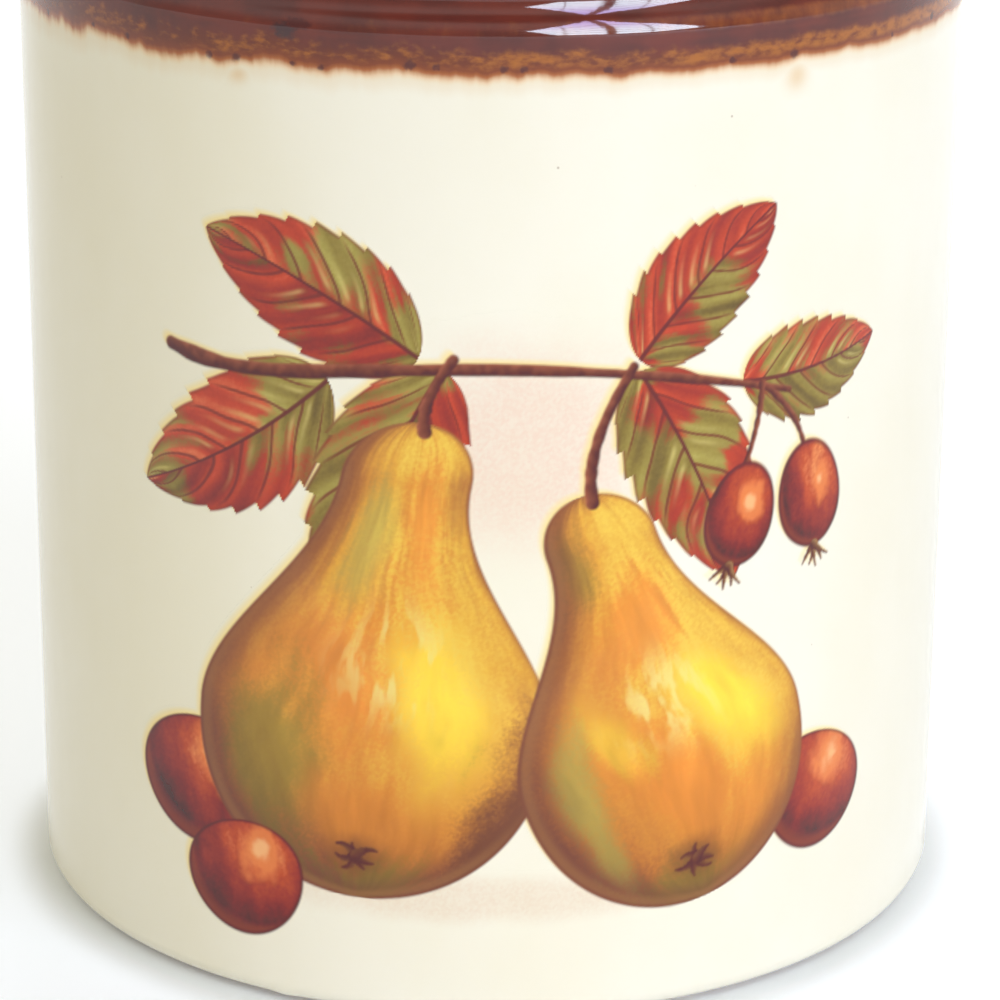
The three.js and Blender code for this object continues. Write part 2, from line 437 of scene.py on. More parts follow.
def paint_pear(canvas, base, degrees, length, belly, neck, bend, washes, seed):
    """Pear that stands on its eye. Washes of colour, a gleam and a dusky edge lie over its shading."""
    along, across = canvas.local(base, degrees)
    a = np.clip(along / length, 0, 1)
    across = across - bend * length * a * a
    width = pear_width(a, belly, neck)
    steps = (PEAR_SLOPE_STEP, -PEAR_SLOPE_STEP)
    ahead, behind = (pear_width(np.clip(a + step, 0, 1), belly, neck) for step in steps)
    slope = (ahead - behind) / (2 * PEAR_SLOPE_STEP * length)
    depth = (width - np.abs(across)) / np.sqrt(1 + slope ** 2)
    side = np.clip(-across / np.maximum(width, 1e-3), -1, 1)
    light = canvas.facing(width * np.sqrt(1 - side ** 2))
    x = belly * side + 7 * canvas.cloud(19, seed + 50, 2)
    y = along + 7 * canvas.cloud(19, seed + 52, 2, 31)
    brush = cloud(x / 2.6, y / 9.0, seed, 3)
    stipple = canvas.grain(seed + 20)
    rgb = shades(0.17 + 0.80 * light + 0.22 * brush + 0.11 * stipple, PEAR_STOPS, PEAR_SHADES)
    for k, (colour, strength, s, rise, wide, tall, tilt) in enumerate(washes):
        right, up = direction(tilt), direction(tilt + 90)
        dx, dy = x - s * belly, y - rise * length
        away = np.hypot((dx * right[0] + dy * right[1]) / (wide * belly),
                        (dx * up[0] + dy * up[1]) / (tall * length))
        away = away + 0.7 * cloud(x / 9 + 17 * k, y / 12, seed + 7, 3) + 0.5 * brush + 0.25 * stipple
        wash = colour * (0.84 + 0.22 * light + 0.16 * brush)[..., None]
        rgb = blend(rgb, wash, strength * smooth(1.15, 0.2, away))
    gleam = np.hypot((x - 0.10 * belly) / (0.52 * belly), (y - 0.50 * length) / (0.17 * length))
    gleam = smooth(1.1, 0.2, gleam) * smooth(-0.04, 0.20, cloud(x / 2.3, y / 7.5, seed + 35, 3))
    rgb = blend(rgb, PEAR_GLEAM, 0.72 * gleam)
    dusk = smooth(8.5, 0.4, depth) * smooth(0.98, 0.30, light + 0.4 * brush)
    rgb = blend(rgb, UMBER, 0.62 * dusk)
    bounce = smooth(0.40, 0.0, light) * smooth(3.4, 1.4, depth) * smooth(0.2, 1.0, depth)
    rgb = blend(rgb, PEAR_BOUNCE, 0.30 * bounce)
    rgb = blend(rgb, PEAR_LINE, 0.40 * smooth(0.9, 0.1, depth))
    ends = smooth(-INK_EDGE, INK_EDGE, along) * smooth(-INK_EDGE, INK_EDGE, length - along)
    canvas.lay(np.clip(rgb, 0, 1), smooth(-INK_EDGE, INK_EDGE, depth) * ends)
    paint_eye(canvas, np.array(base) + EYE_RISE * direction(degrees), degrees, seed)


def paint_eye(canvas, centre, degrees, seed):
    """Dry flower at the bottom of a pear."""
    window = canvas.around(centre, 14)
    along, across = window.local(centre, degrees)
    hollow = np.hypot(along * 1.5, across) + 3 * window.cloud(3, seed + 70)
    window.lay(EYE_HOLLOW, 0.62 * smooth(8.5, 1.0, hollow))
    draw = np.random.default_rng(seed)
    for k in range(EYE_SEPALS):
        turn = SEPAL_TURN * k + draw.uniform(-12, 12)
        tip = direction(degrees + turn) * draw.uniform(3.2, 4.8)
        tip = tip - 0.28 * direction(degrees) * (tip @ direction(degrees))
        bow = 0.6 * tip + draw.uniform(-1.6, 1.6) * np.array([-tip[1], tip[0]]) / 4
        paint_stroke(canvas, [centre, centre + bow, centre + tip], 1.9, 0.5, SEPAL_DARK, seed + 80 + k)


def paint_stroke(canvas, points, start_width, end_width, pale, seed):
    """Woody stroke along a curve, lit on its upper side."""
    path = bezier(points)
    reach = np.ptp(path, axis=0).max() / 2 + start_width + 2
    canvas = canvas.around((path.max(0) + path.min(0)) / 2, reach)
    best = np.full(canvas.u.shape, 1e9)
    offset, place = 0 * best, 0 * best
    for k, (start, step) in enumerate(zip(path[:-1], np.diff(path, axis=0))):
        du, dv = canvas.u - start[0], canvas.v - start[1]
        t = np.clip((du * step[0] + dv * step[1]) / (step @ step), 0, 1)
        away = np.hypot(du - t * step[0], dv - t * step[1])
        near = away < best
        best = np.where(near, away, best)
        offset = np.where(near, (dv * step[0] - du * step[1]) / np.linalg.norm(step), offset)
        place = np.where(near, (k + t) / (len(path) - 1), place)
    half = (start_width + (end_width - start_width) * place) / 2
    half = half * (0.8 + 0.4 * noise(place * 14, 0 * place, seed))
    lit = 0.36 + 0.50 * offset / np.maximum(half, 1e-3) + 0.4 * canvas.grain(seed + 1, 0.9)
    canvas.lay(blend(BARK_DARK, pale, lit), smooth(INK_EDGE, -INK_EDGE, best - half))


def paint_leaf(canvas, base, degrees, length, width, bend, red, seed):
    """Leaf with a notched edge and veins, red in places and green in others."""
    canvas = canvas.around(base, length + 2)
    along, across = canvas.local(base, degrees)
    t = np.clip(along / length, 0, 1)
    across = across - bend * length * t * (1 - t)
    upper, across = np.sign(across), np.abs(across)
    notch = (t * LEAF_VEINS * 1.5 + 0.25 * upper - 0.2 * across / width) % 1.0
    notch = (notch - 0.5) * (0.4 + 1.2 * noise(t * LEAF_VEINS * 0.8, upper, seed + 2))
    full = width * t ** 0.55 * (1 - t) ** 0.8
    depth = full * (1 + 0.11 * notch * smooth(0.06, 0.25, t)) - across
    side = np.clip(across / np.maximum(full, 0.05), 0, 1)
    sway = canvas.cloud(9, seed + 12, 2)
    path = t * LEAF_VEINS - 1.7 * side ** 1.2 + 0.28 * sway + 0.25 * upper
    vein_away = np.abs((path + 0.5) % 1.0 - 0.5)
    strokes = cloud(2.4 * path, 0.7 * side + t, seed + 15, 3)
    stipple = canvas.grain(seed + 3)
    tone = 0.51 + 0.12 * upper * np.cos(np.radians(degrees)) + 0.14 * np.cos(2 * np.pi * path + 0.9)
    tone = tone + 0.30 * canvas.cloud(9, seed) + 0.45 * strokes + 0.09 * stipple
    autumn = red + 1.2 * canvas.cloud(12, seed + 6, 2, 7) + 0.55 * (t - 0.45) + 0.08 * upper
    autumn = autumn + 0.65 * strokes + 0.08 * stipple
    green_leaf, red_leaf = (shades(tone, LEAF_STOPS, colours) for colours in (LEAF_GREEN, LEAF_RED))
    rgb = blend(green_leaf, red_leaf, smooth(0.34, 0.66, autumn))
    dash = smooth(0.16, 0.0, np.abs(vein_away - 0.26)) * smooth(0.75, 0.15, side) * smooth(0.05, 0.2, side)
    dash = dash * smooth(0.45, 0.75, noise(np.floor(path + 0.5) * 1.7, upper, seed + 30) + 0.5 * sway)
    rgb = blend(rgb, LEAF_DASH, 0.62 * dash)
    vein = smooth(0.085, 0.02, vein_away) * smooth(1.0, 0.7, side) * smooth(0.03, 0.12, t)
    rgb = blend(rgb, LEAF_VEIN, 0.70 * vein)
    rgb = blend(rgb, LEAF_RIB, 0.9 * smooth(0.55, 0.15, across / (1.15 - 0.75 * t)))
    rgb = blend(rgb, LEAF_LINE, 0.50 * smooth(0.8, 0.1, depth))
    canvas.lay(rgb, smooth(-INK_EDGE, INK_EDGE, depth) * (along > 0) * (along < length))


def paint_berry(canvas, centre, radius, degrees, stretch, seed):
    """Round or long red fruit."""
    canvas = canvas.around(centre, 2 * radius)
    along, across = canvas.local(centre, degrees)
    away = np.hypot(along / (stretch - 0.10 * np.clip(along / radius, -1, 1)), across)
    light = canvas.facing(np.sqrt(np.clip(radius ** 2 - away ** 2, 0, None)))
    patch = canvas.cloud(4, seed)
    ribs = cloud(across / radius * 4, along / radius, seed + 9, 3)
    tone = 0.01 + 0.86 * light + 0.26 * patch + 0.36 * ribs + 0.10 * canvas.grain(seed + 5, 2)
    rgb = shades(tone, BERRY_STOPS, BERRY_SHADES)
    du, dv = canvas.u - centre[0] - 0.28 * radius, canvas.v - centre[1] - 0.38 * radius
    spot = np.hypot(du / 1.1, dv / 1.4) / radius
    rgb = blend(rgb, BERRY_SPOT, 0.80 * smooth(0.42, 0.16, spot + 0.35 * patch + 0.3 * ribs))
    rgb = blend(rgb, BERRY_GLEAM, 0.70 * smooth(0.17, 0.04, spot + 0.3 * patch))
    glow = smooth(0.62, 0.92, away / radius) * smooth(0.25, 0.0, light)
    rgb = blend(rgb, BERRY_GLOW, 0.55 * glow)
    rgb = blend(rgb, BERRY_LINE, 0.6 * smooth(0.9, 0.1, radius - away))
    canvas.lay(rgb, smooth(-INK_EDGE, INK_EDGE, radius - away))


def paint_hip(canvas, centre, radius, degrees, seed):
    """Rose hip with its tuft of sepals."""
    paint_berry(canvas, centre, radius, degrees, HIP_STRETCH, seed)
    root = np.array(centre) + 0.91 * HIP_STRETCH * radius * direction(degrees)
    for k in range(5):
        tip = direction(degrees + 24 * (k - 2))
        bow = root + 1.8 * tip + (0.5 if k % 2 else -0.4) * np.array([-tip[1], tip[0]])
        paint_stroke(canvas, [root, bow, root + (4.2 - 0.5 * (k % 2)) * tip], 1.5, 0.4, SEPAL, seed + 60 + k)


def paint_haze(canvas, centre, size, colour, strength):
    away = np.hypot((canvas.u - centre[0]) / size[0], (canvas.v - centre[1]) / size[1])
    stipple = 1 + 0.6 * canvas.grain(78)
    canvas.lay(colour, strength * stipple * smooth(1.0, 0.3, away + 0.25 * canvas.cloud(8, 77)))


def paint_print(u, v):
    """Two pears, plums, rose hips and leaves on a bough, over a yellow plate that sits a little off."""
    canvas = Canvas(u, v)
    paint_leaf(canvas, (-28, 115), 212, 46, 30, 0.20, 0.60, 11)
    paint_leaf(canvas, (-12, 120), 154, 44, 28, -0.16, 0.50, 12)
    paint_leaf(canvas, (26, 119), 44, 36, 24, 0.16, 0.60, 14)
    paint_leaf(canvas, (46, 113), 6, 32, 22, -0.18, 0.40, 13)
    paint_leaf(canvas, (-8, 118), 248, 52, 30, -0.16, 0.64, 15)
    paint_leaf(canvas, (26, 117), 296, 44, 28, 0.14, 0.52, 16)
    paint_stroke(canvas, [(-60, 117), (-34, 110), (-8, 128), (56, 110)], 3.0, 1.4, BARK_PALE, 21)
    paint_stroke(canvas, [(50, 112), (58, 106), (60, 99)], 1.4, 1.0, BARK_PALE, 25)
    paint_stroke(canvas, [(50, 112), (50, 106), (47, 98)], 1.4, 1.0, BARK_PALE, 26)
    paint_hip(canvas, (62, 89), 7.6, -82, 41)
    paint_hip(canvas, (46, 88), 7.2, -104, 42)
    paint_berry(canvas, (-56, 37), 13.5, 100, 0.90, 43)
    paint_berry(canvas, (66, 33), 12.5, 76, 0.90, 44)
    paint_pear(canvas, (-24, 19), 88, 90, 33, 11.5, -0.10, LEFT_WASHES, 31)
    paint_pear(canvas, (41, 17), 104, 82, 28, 10, 0.06, RIGHT_WASHES, 35)
    paint_berry(canvas, (-46, 20), 12.5, 105, 0.88, 45)
    paint_stroke(canvas, [(-11, 107), (-12, 112), (-6, 120)], 2.2, 1.7, BARK_PALE, 22)
    paint_stroke(canvas, [(18, 94), (16, 104), (25, 118)], 2.1, 1.6, BARK_PALE, 23)
    under = Canvas(u, v)
    paint_haze(under, (6, 104), (34, 26), HAZE_ROSE, 0.50)
    paint_haze(under, (-2, 20), (58, 6), HAZE_TAN, 0.30)
    shifts = [np.roll(canvas.cover, (k, -k), (0, 1)) for k in range(1, YELLOW_STEPS + 1)]
    under.lay(YELLOW_PLATE, YELLOW_COVER * np.mean(shifts, 0))
    under.lay(canvas.rgb, canvas.cover)
    return under.rgb, under.cover


# Shader nodes

class Nodes:
    """Adds nodes to one tree. An input is a constant or the output of another node."""

    def __init__(self, tree):
        self.tree = tree

    def feed(self, node, inputs):
        for key, value in inputs.items():
            if isinstance(value, bpy.types.NodeSocket):
                self.tree.links.new(value, node.inputs[key])
            else:
                node.inputs[key].default_value = value
        return node

    def add(self, kind, inputs, **settings):
        made = self.tree.nodes.new("ShaderNode" + kind)
        for name, value in settings.items():
            setattr(made, name, value)
        return self.feed(made, inputs)

    def fold(self, operation, values):
        total, *others = values
        for other in others:
            total = self.add("Math", {0: total, 1: other}, operation=operation).outputs[0]
        return total

    def times(self, *values):
        return self.fold("MULTIPLY", values)

    def plus(self, *values):
        return self.fold("ADD", values)

    def minus(self, a, b):
        return self.fold("SUBTRACT", (a, b))

    def step(self, value, low, high):
        inputs = {"Value": value, "From Min": low, "From Max": high}
        return self.add("MapRange", inputs, interpolation_type="SMOOTHSTEP").outputs[0]

    def mix(self, share, under, over):
        return self.add("Mix", {0: share, 6: under, 7: over}, data_type="RGBA").outputs[2]

    def blend(self, share, under, over):
        return self.add("Mix", {0: share, 2: under, 3: over}, data_type="FLOAT").outputs[0]

    def place(self, scale=(1, 1, 1)):
        """Object coordinates, times a scale in each direction."""
        coordinates = self.add("TexCoord", {}).outputs["Object"]
        return self.add("VectorMath", {0: coordinates, 1: scale}, operation="MULTIPLY").outputs[0]

    def length(self, vector):
        return self.add("VectorMath", {0: vector}, operation="LENGTH").outputs["Value"]

    def noise(self, width, height, detail):
        """Noise with features of about this width and height, in millimetres."""
        across, up = 1 / (width * MM), 1 / (height * MM)
        inputs = {"Vector": self.place((across, across, up)), "Scale": 1.0, "Detail": detail}
        return self.add("TexNoise", inputs).outputs["Fac"]

    def centred_noise(self, width, height, detail):
        return self.minus(self.noise(width, height, detail), 0.5)

    def read(self, name, output="Fac"):
        return self.add("Attribute", {}, attribute_name=name).outputs[output]

    def glaze(self, group):
        """A glaze. Each input of its group reads the attribute of that name."""
        made = self.add("Group", {}, node_tree=group)
        return self.feed(made, {socket.name: self.read(socket.name) for socket in made.inputs}).outputs

    def seen(self):
        """1 for what the camera, gloss and glass see, 0 for the light that falls on things."""
        path = self.add("LightPath", {}).outputs
        rays = ("Is Camera Ray", "Is Glossy Ray", "Is Transmission Ray")
        return self.fold("MAXIMUM", [path[name] for name in rays])

    def ramp(self, value, low, high, stops):
        share = self.add("MapRange", {"Value": value, "From Min": low, "From Max": high}).outputs[0]
        made = self.add("ValToRGB", {"Fac": share})
        elements = made.color_ramp.elements
        while len(elements) < len(stops):
            elements.new(0.5)
        for element, (at, colour) in zip(elements, stops):
            element.position = (at - low) / (high - low)
            element.color = rgba(colour)
        return made.outputs[0]


def rgba(colour):
    return (*linear(srgb(*colour)), 1.0)


CREAM = (243, 240, 226)
CREAM_WARM = (240, 236, 218)
IRON_SPECK = (142, 112, 78)
CLAY = (205, 183, 148)
CLAY_DARK = (176, 150, 116)
BROWN = (108, 38, 22)
BROWN_DARK = (86, 30, 20)
BROWN_HONEY = (150, 78, 22)
BROWN_BEAD = (74, 18, 15)
BLISTER_GREY = (58, 33, 38)
FLECK = (170, 98, 18)
STAIN = (226, 194, 146)
IVORY, IVORY_BLOOM = (226, 219, 202), (236, 231, 218)
GLAZE_IOR = 1.55
GLAZE_GLOSS = 0.06
GLAZE_RELIEF = 0.12
PEEL_SHARE = 0.05
SPECK_SPACING = 5.5
SEAL_IOR = 1.42
SEAL_RELIEF = 0.02
# Colours of the dip by height above its edge
FRINGE_LOW, FRINGE_HIGH = -1.1, 5.0
FRINGE = [(FRINGE_LOW, (236, 206, 160)), (-0.3, (222, 170, 106)), (0.5, (170, 94, 32)), (1.2, (126, 54, 6)),
          (2.2, (108, 42, 2)), (3.6, (104, 38, 8)), (FRINGE_HIGH, BROWN)]
# Noise that makes the edge run down unevenly: width, height and reach
DIP_RUNS = [(7.0, 16.0, 3.6), (2.6, 8.0, 1.9), (0.9, 3.0, 0.6)]


def new_group(name, inputs=()):
    """Node group with a colour and a height, and number inputs."""
    group = bpy.data.node_groups.new(name, "ShaderNodeTree")
    for label, kind in (("Color", "Color"), ("Height", "Float")):
        group.interface.new_socket(name=label, in_out="OUTPUT", socket_type="NodeSocket" + kind)
    for label in inputs:
        group.interface.new_socket(name=label, in_out="INPUT", socket_type="NodeSocketFloat")
    return group, Nodes(group), group.nodes.new("NodeGroupInput").outputs


def finish_group(nodes, colour, ripple, peel):
    """Outputs of a glaze: its colour, and the height of its ripple and orange peel of these sizes."""
    height = nodes.plus(nodes.noise(*ripple, 1.0), nodes.times(nodes.noise(peel, peel, 1.0), PEEL_SHARE))
    nodes.feed(nodes.tree.nodes.new("NodeGroupOutput"), {"Color": colour, "Height": height})


def cream_group():
    """Cream glaze with faint clouds and rare iron specks."""
    group, nodes, _ = new_group("cream_glaze")
    clouds = nodes.step(nodes.noise(38, 55, 3.0), 0.35, 0.70)
    colour = nodes.mix(clouds, rgba(CREAM), rgba(CREAM_WARM))
    inputs = {"Vector": nodes.place(), "Scale": 1 / (SPECK_SPACING * MM), "Randomness": 1.0}
    cells = nodes.add("TexVoronoi", inputs).outputs
    chance = nodes.add("SeparateColor", {0: cells["Color"]}).outputs[0]
    chosen = nodes.fold("GREATER_THAN", (chance, 0.90))
    speck = nodes.times(nodes.step(cells["Distance"], 0.055, 0.02), chosen, 0.5)
    finish_group(nodes, nodes.mix(speck, colour, rgba(IRON_SPECK)), (26, 34), 2.6)
    return group


def brown_group():
    """Brown glaze: mottled red-brown that breaks to honey where it is thin."""
    group, nodes, given = new_group("brown_glaze", ["thin"])
    mottle = nodes.plus(nodes.times(nodes.noise(9, 9, 3.0), 0.6), nodes.times(nodes.noise(22, 2.4, 2.0), 0.4))
    colour = nodes.mix(nodes.step(mottle, 0.38, 0.62), rgba(BROWN_DARK), rgba(BROWN))
    run = nodes.times(nodes.centred_noise(2.2, 4.0, 3.0), 0.8)
    thin = nodes.step(nodes.plus(given["thin"], run), 0.15, 1.0)
    finish_group(nodes, nodes.mix(thin, colour, rgba(BROWN_HONEY)), (15, 9), 1.6)
    return group


def new_material(name):
    material = bpy.data.materials.new(name)
    material.use_nodes = True
    tree = material.node_tree
    return material, Nodes(tree), tree.nodes["Principled BSDF"]


def finish_material(nodes, shader, colour, roughness, height, depth=GLAZE_RELIEF, ior=GLAZE_IOR):
    bump = nodes.add("Bump", {"Height": height, "Distance": depth * MM, "Strength": 1.0})
    nodes.feed(shader, {"Base Color": colour, "Roughness": roughness, "Normal": bump.outputs[0], "IOR": ior})


def stoneware_material(name, group, clay_relief):
    """Glaze that stops where the buff clay is bare."""
    material, nodes, shader = new_material(name)
    glaze = nodes.glaze(group)
    grain = nodes.noise(0.5, 0.5, 4.0)
    clay = nodes.mix(nodes.step(grain, 0.35, 0.65), rgba(CLAY_DARK), rgba(CLAY))
    ragged = nodes.plus(nodes.read("bare"), nodes.times(nodes.noise(1.5, 1.5, 3.0), 0.5))
    bare = nodes.step(ragged, 0.68, 0.82)
    colour = nodes.mix(bare, glaze["Color"], clay)
    roughness = nodes.plus(nodes.times(bare, 0.7), GLAZE_GLOSS)
    height = nodes.plus(glaze["Height"], nodes.times(grain, bare, clay_relief))
    finish_material(nodes, shader, colour, roughness, height)
    return material


def dip_material(cream, brown):
    """Brown dip over cream: a soft run-down edge, honey flecks above it, beads, a blister and stains."""
    material, nodes, shader = new_material("brown_dip")
    under, over = nodes.glaze(cream), nodes.glaze(brown)
    honey = nodes.read("honey")
    wild = nodes.minus(1.3, honey)
    runs = [nodes.times(nodes.centred_noise(wide, tall, 1.0), reach, wild) for wide, tall, reach in DIP_RUNS]
    level = nodes.plus(nodes.read("above_edge"), *runs)
    level = nodes.times(level, nodes.minus(1.25, nodes.times(wild, 0.5)))
    colour = nodes.ramp(level, FRINGE_LOW, FRINGE_HIGH, FRINGE)

    flames = nodes.plus(level, nodes.times(nodes.centred_noise(2.0, 5.0, 3.0), 4.0, wild))
    colour = nodes.mix(nodes.step(flames, 2.6, 5.0), colour, over["Color"])
    band = nodes.times(nodes.step(level, 1.0, 2.2), nodes.step(flames, 4.6, 3.0))
    drift = nodes.times(nodes.centred_noise(16, 16, 1.0), 0.6)
    patches = nodes.plus(nodes.noise(2.2, 1.1, 4.0), drift, nodes.times(nodes.minus(honey, 0.65), 0.6))
    golden = nodes.times(band, nodes.step(patches, 0.32, 0.74), 0.95)
    colour = nodes.mix(golden, colour, rgba(FLECK))

    ragged = nodes.times(nodes.centred_noise(0.8, 0.8, 1.0), 1.2)
    bead = nodes.step(nodes.plus(nodes.length(nodes.read("bead", "Vector")), ragged), 1.5, 0.6)
    bead_colour = nodes.mix(nodes.read("bead_grey"), rgba(BROWN_BEAD), rgba(BLISTER_GREY))
    colour = nodes.mix(nodes.times(bead, 0.85), colour, bead_colour)

    cover = nodes.step(level, -1.2, 0.8)
    bleed = nodes.times(nodes.step(level, -3.4, -0.6), 0.30)
    stained = nodes.fold("MAXIMUM", (nodes.read("stain"), bleed))
    colour = nodes.mix(cover, nodes.mix(stained, under["Color"], rgba(STAIN)), colour)
    roughness = nodes.plus(nodes.times(nodes.step(level, 5.0, 2.0), cover, 0.10), GLAZE_GLOSS)
    height = nodes.blend(cover, under["Height"], over["Height"])
    finish_material(nodes, shader, colour, roughness, height)
    return material


def print_material(cream):
    """Fired print: the painter's ink over the same cream glaze."""
    material, nodes, shader = new_material("fired_print")
    under = nodes.glaze(cream)
    colour = nodes.mix(nodes.read("cover"), under["Color"], nodes.read("ink", "Color"))
    finish_material(nodes, shader, colour, GLAZE_GLOSS, under["Height"])
    return material


def seal_material():
    """Satin ivory elastomer with a faint bloom."""
    material, nodes, shader = new_material("soft_seal")
    bloom = nodes.step(nodes.noise(9, 4, 3.0), 0.35, 0.7)
    colour = nodes.mix(bloom, rgba(IVORY), rgba(IVORY_BLOOM))
    roughness = nodes.plus(nodes.times(bloom, 0.15), 0.42)
    finish_material(nodes, shader, colour, roughness, nodes.noise(0.35, 0.35, 2.0), SEAL_RELIEF, SEAL_IOR)
    return material


# Pieces

def jar_outside():
    """Wall from the heel up over the shoulder, collar and rim, and down to the inside of the neck."""
    heel_z = FOOT_BEVEL + HEEL_R
    rim_z = RIM_TOP - RIM_ROUNDING
    return chain(
        (FOOT_OUTER, 0),
        arc(BODY_R - HEEL_R, heel_z, HEEL_R, -90, 0, 14),
        line((BODY_R, heel_z), (BODY_R, WALL_HEIGHT), 4),
        s_curve((BODY_R, WALL_HEIGHT), (COLLAR_R, SHOULDER_TOP)),
        line((COLLAR_R, SHOULDER_TOP), (COLLAR_R, rim_z), 1.5),
        arc(COLLAR_R - RIM_ROUNDING, rim_z, RIM_ROUNDING, 0, 90),
        arc(MOUTH_R + RIM_ROUNDING, rim_z, RIM_ROUNDING, 90, 180),
        line((MOUTH_R, rim_z), (MOUTH_R, SHOULDER_TOP), 1.5),
        s_curve((MOUTH_R, SHOULDER_TOP), (INSIDE_R, WALL_HEIGHT)),
    )


def jar_profile():
    recess_edge = (FOOT_INNER - FOOT_RECESS, FOOT_RECESS)
    fillet_r, fillet_z = INSIDE_R - BASE_FILLET, BASE_TOP + BASE_FILLET
    return chain(
        line((0, FOOT_RECESS), recess_edge, 6),
        bezier([recess_edge, (FOOT_INNER - FOOT_EASE, FOOT_RECESS), (FOOT_INNER, 0)], 8),
        line((FOOT_INNER, 0), (FOOT_OUTER, 0), 1.5),
        jar_outside(),
        line((INSIDE_R, WALL_HEIGHT), (INSIDE_R, fillet_z), 10),
        arc(fillet_r, fillet_z, BASE_FILLET, 0, -90, 14),
        line((fillet_r, BASE_TOP), (0, BASE_TOP), 6),
    )


def make_jar(cream):
    piece = turned("jar_stoneware", jar_profile(), JAR_COLUMNS, bulge=swell)
    x, y, z = points_of(piece).T
    ring = smooth(FOOT_INNER - 2.7, FOOT_INNER - 0.7, np.hypot(x, y))
    attribute(piece, "bare", "FLOAT", ring * smooth(1.6, 0.4, z))
    piece.data.materials.append(stoneware_material("cream_stoneware", cream, 0.3))
    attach(piece, "canister")
    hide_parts("canister_body")


DIP_EDGE = 162.8
DIP_MARGIN = 6.5
DIP_INSIDE = 11.0
DIP_THICKNESS = 0.14
DIP_SINK = 0.12
DIP_EDGE_LIFT = 0.012
# Beads of thick glaze along the front of the dip edge: u, height above the edge, half width, half height
FRONT_BEADS = [(-65, 1.2, 0.5, 0.5), (-47, 0.9, 0.6, 0.6), (-41.8, 0.8, 0.8, 0.6), (-31.6, 0.9, 0.5, 0.4),
               (-26.8, 0.7, 0.7, 0.45), (-12.5, 1.4, 0.85, 0.75), (-8.3, 1.3, 0.5, 0.5),
               (2.3, 1.5, 0.6, 0.55), (5.3, 1.5, 0.6, 0.5), (18.6, 1.2, 0.7, 0.55), (39.7, 1.4, 0.65, 0.5),
               (51.6, 1.2, 0.85, 0.65), (-30.8, 7.3, 2.1, 0.9)]
# Burst bubble in the glaze above the edge
BLISTER = (-33.1, 5.9, 1.7, 1.15)
# Thin runs of glaze below the edge: u, height above the edge, half width, half height
FRONT_STAINS = [(-41.5, -2.0, 1.9, 1.4), (52.4, -2.5, 2.2, 2.3)]
FRONT_REACH = 70.0
BEAD_SPACING = 13.0
BEAD_FAR = 9.0
# How golden the flecks are round the jar: mean, swing and where it peaks
HONEY_MEAN, HONEY_SWING, HONEY_TURN = 0.6, 0.35, 0.2


def dip_profile():
    """The coat's way over the jar, from below its outer edge to below its inner one."""
    outside = jar_outside()
    start = np.flatnonzero(outside[:, 1] >= WALL_HEIGHT)[0]
    rows = line((BODY_R, DIP_EDGE - DIP_MARGIN), (BODY_R, WALL_HEIGHT), 0.4)
    inner_end = RIM_TOP - DIP_INSIDE - DIP_MARGIN
    way = chain(rows, outside[start:], line((INSIDE_R, WALL_HEIGHT), (INSIDE_R, inner_end - 12), 0.6))
    inner = (way[:, 0] < MOUTH_R + 2.2) & (way[:, 1] < inner_end)
    return way[:np.flatnonzero(inner)[0]]


def edge_wave(angle, seed):
    """Slow wander of a dip edge round the jar, in millimetres."""
    draw = np.random.default_rng(seed)
    wave = 0 * angle
    for k in range(2, 48):
        wave = wave + draw.normal() * 0.30 / k ** 0.75 * np.sin(k * angle + draw.uniform(0, 2 * np.pi))
    return wave


def all_beads():
    """Beads of the front, beads at random round the rest of the jar, and the blister."""
    draw = np.random.default_rng(12)
    beads = list(FRONT_BEADS)
    for u in np.arange(-GIRTH / 2, GIRTH / 2, BEAD_SPACING):
        size = draw.uniform(0.35, 0.7)
        spot = (u + draw.uniform(-5, 5), draw.uniform(0.9, 1.7), size, size)
        if abs(spot[0]) > FRONT_REACH:
            beads.append(spot)
    return beads + [BLISTER]


def bead_fields(arc_u, outer):
    """Offset from the nearest bead in bead sizes, and how grey that bead is."""
    nearest = np.full(outer.shape, 1e9)
    bead = np.zeros(outer.shape + (3,))
    grey = np.zeros(outer.shape)
    for spot in all_beads():
        u, level, wide, tall = spot
        du = wrapped(arc_u - u / BODY_R)[None] * BODY_R + 0 * outer
        offset = np.stack([du / wide, (outer - level) / tall, 0 * du], -1)
        distance = np.linalg.norm(offset, axis=-1)
        closer = distance < nearest
        nearest = np.where(closer, distance, nearest)
        bead = np.where(closer[..., None], np.minimum(np.abs(offset), BEAD_FAR), bead)
        grey = np.where(closer, float(spot == BLISTER), grey)
    return bead, grey


